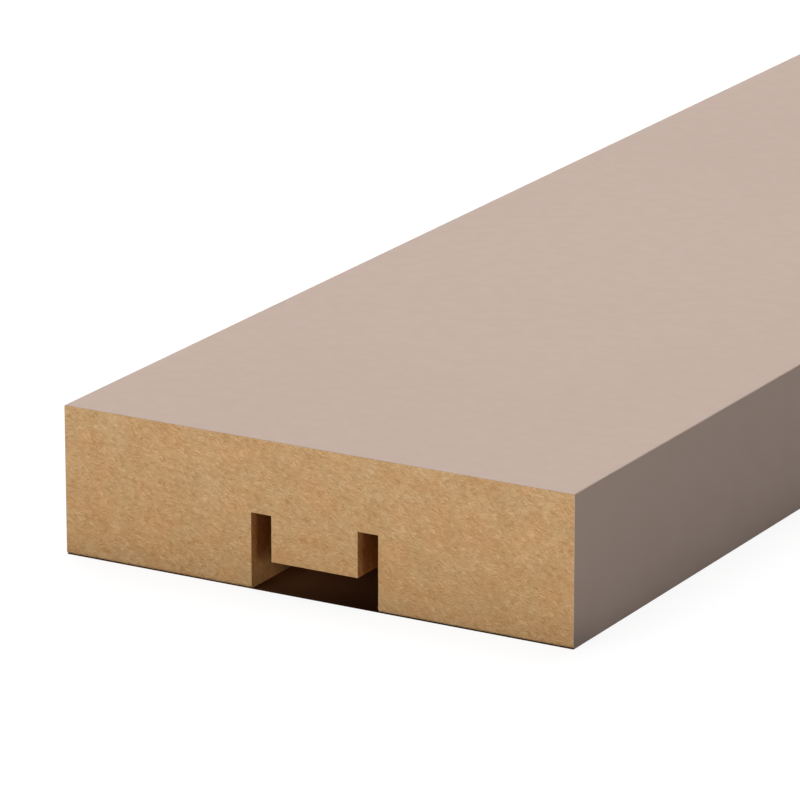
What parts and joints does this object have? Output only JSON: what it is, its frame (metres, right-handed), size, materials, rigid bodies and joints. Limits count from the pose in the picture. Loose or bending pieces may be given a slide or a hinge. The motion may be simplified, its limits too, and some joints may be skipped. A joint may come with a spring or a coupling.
{
  "type": "mdf trim strip",
  "caption": "Flat rectangular fibreboard trim strip with a smooth coated face and sides, and a stepped groove along its back that snaps onto hidden wall clips.",
  "frame": {"origin": "middle of the back face, halfway along the strip, on the plane that lies against the wall or floor", "axes": "+X across the width, +Y along the length, +Z out of the back towards the coated face"},
  "size_m": [0.07, 2.4, 0.019],
  "materials": {
    "coated_fibreboard": "satin"
  },
  "bodies": {
    "root": {"trim_strip": "coated_fibreboard"}
  },
  "joints": []
}
